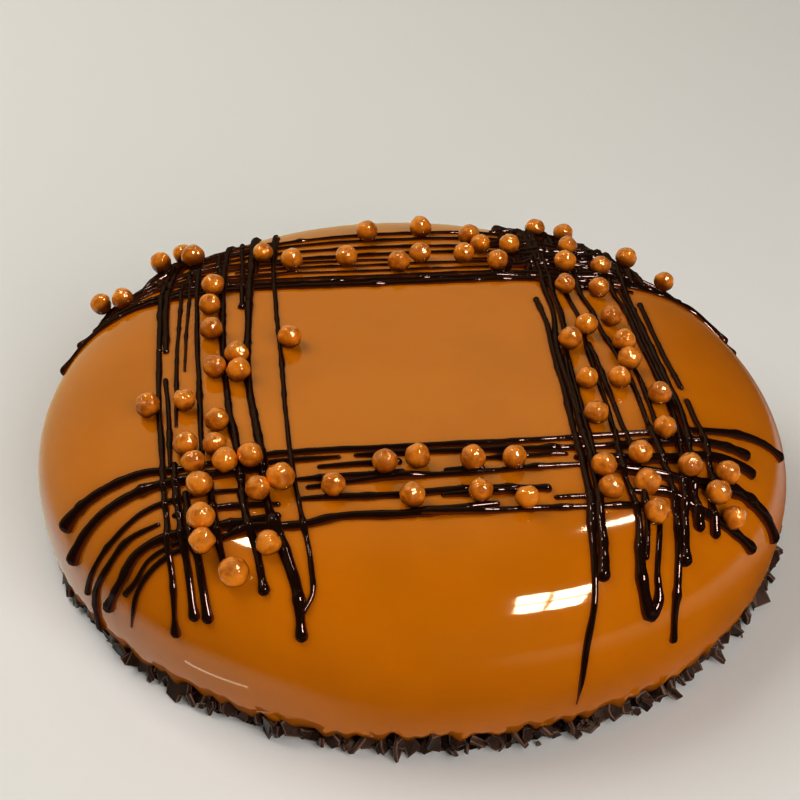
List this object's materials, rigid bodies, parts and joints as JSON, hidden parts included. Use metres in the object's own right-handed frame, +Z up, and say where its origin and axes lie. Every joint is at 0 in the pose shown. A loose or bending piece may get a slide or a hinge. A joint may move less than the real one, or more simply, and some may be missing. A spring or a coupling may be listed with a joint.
{
  "type": "caramel cake",
  "caption": "Low round caramel cake: a smooth mirror-glazed dome with crossing bands of chocolate drizzle, crisp pearls along the bands and chocolate shards round the foot.",
  "frame": {"origin": "middle of the flat underside, on the surface the cake stands on", "axes": "+Z up; +X to the right and +Y away as the cake is seen from its front"},
  "size_m": [0.2032, 0.2032, 0.052],
  "materials": {
    "glaze": "mirror-bright caramel glaze, slightly translucent",
    "drizzle": "set dark chocolate, very glossy",
    "pearl": "caramel coated crisp pearl with a satin sheen",
    "shard": "matt broken dark chocolate"
  },
  "bodies": {
    "root": {"caramel_cake": "glaze"}
  },
  "joints": []
}
